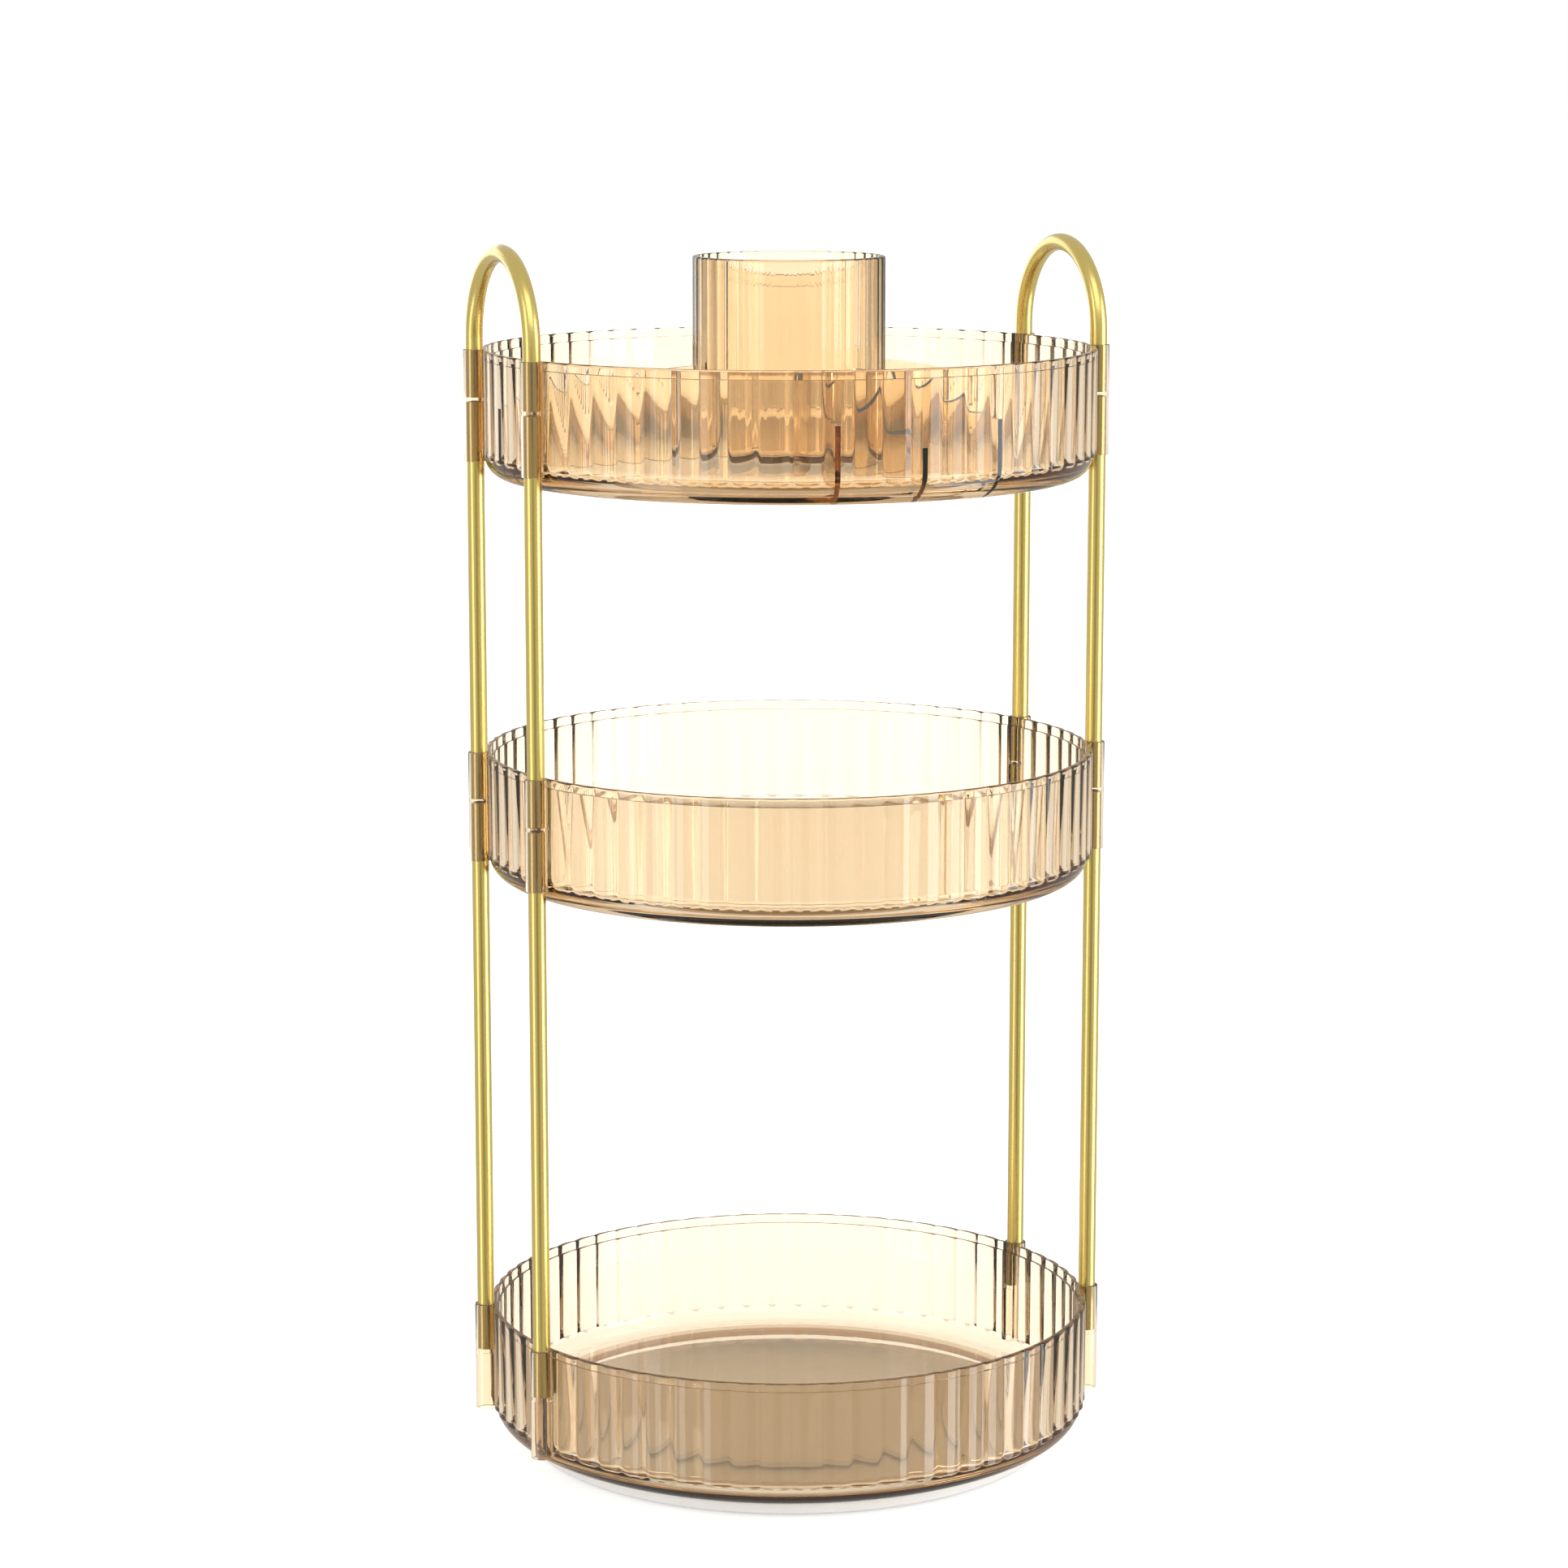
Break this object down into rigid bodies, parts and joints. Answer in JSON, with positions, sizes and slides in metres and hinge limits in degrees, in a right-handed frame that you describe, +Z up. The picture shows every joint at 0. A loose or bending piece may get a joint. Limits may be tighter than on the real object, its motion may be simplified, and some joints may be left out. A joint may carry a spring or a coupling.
{
  "type": "rotating makeup organizer",
  "caption": "Round tiered makeup organizer with clear ribbed trays on gold tubes, arched carrying handles and a lift-out brush cup, turning on a ball-bearing base.",
  "frame": {"origin": "centre of the base, on the surface that the rubber feet stand on", "axes": "+Z up along the turning axis, X through the two handles, front towards -Y"},
  "size_m": [0.2334, 0.2298, 0.461],
  "materials": {
    "tray_plastic": "clear champagne-tinted polystyrene, polished",
    "gold_tube": "satin gold electroplate on steel tube",
    "base_plastic": "white moulded plastic",
    "foot_rubber": "matt grey rubber",
    "bearing_steel": "polished steel",
    "cage_plastic": "natural nylon"
  },
  "bodies": {
    "base": {"base_plate": "base_plastic", "rubber_feet": "foot_rubber"},
    "bearing": {"ball_cage": "cage_plastic", "bearing_balls": "bearing_steel"},
    "tower": {"turntable_plate": "base_plastic", "pivot_screw": "bearing_steel", "pivot_washer": "bearing_steel", "bottom_tray": "tray_plastic", "middle_tray": "tray_plastic", "top_tray": "tray_plastic", "lower_tube_front_left": "gold_tube", "lower_tube_front_right": "gold_tube", "lower_tube_back_left": "gold_tube", "lower_tube_back_right": "gold_tube", "upper_tube_front_left": "gold_tube", "upper_tube_front_right": "gold_tube", "upper_tube_back_left": "gold_tube", "upper_tube_back_right": "gold_tube", "left_handle": "gold_tube", "right_handle": "gold_tube"},
    "brush_cup": {"brush_cup": "tray_plastic"}
  },
  "joints": [
    {"name": "turntable_spin", "type": "hinge", "parent": "base", "child": "tower", "pos_m": [0, 0, 0.0063], "axis": [0, 0, 1], "continuous": true},
    {"name": "bearing_roll", "type": "hinge", "parent": "base", "child": "bearing", "pos_m": [0, 0, 0.0063], "axis": [0, 0, 1], "continuous": true},
    {"name": "brush_cup_lift", "type": "slide", "parent": "tower", "child": "brush_cup", "axis": [0, 0, 1], "range_m": [0, 0.09]}
  ],
  "couplings": [
    {"joint": "bearing_roll", "follows": "turntable_spin", "ratio": 0.5}
  ]
}
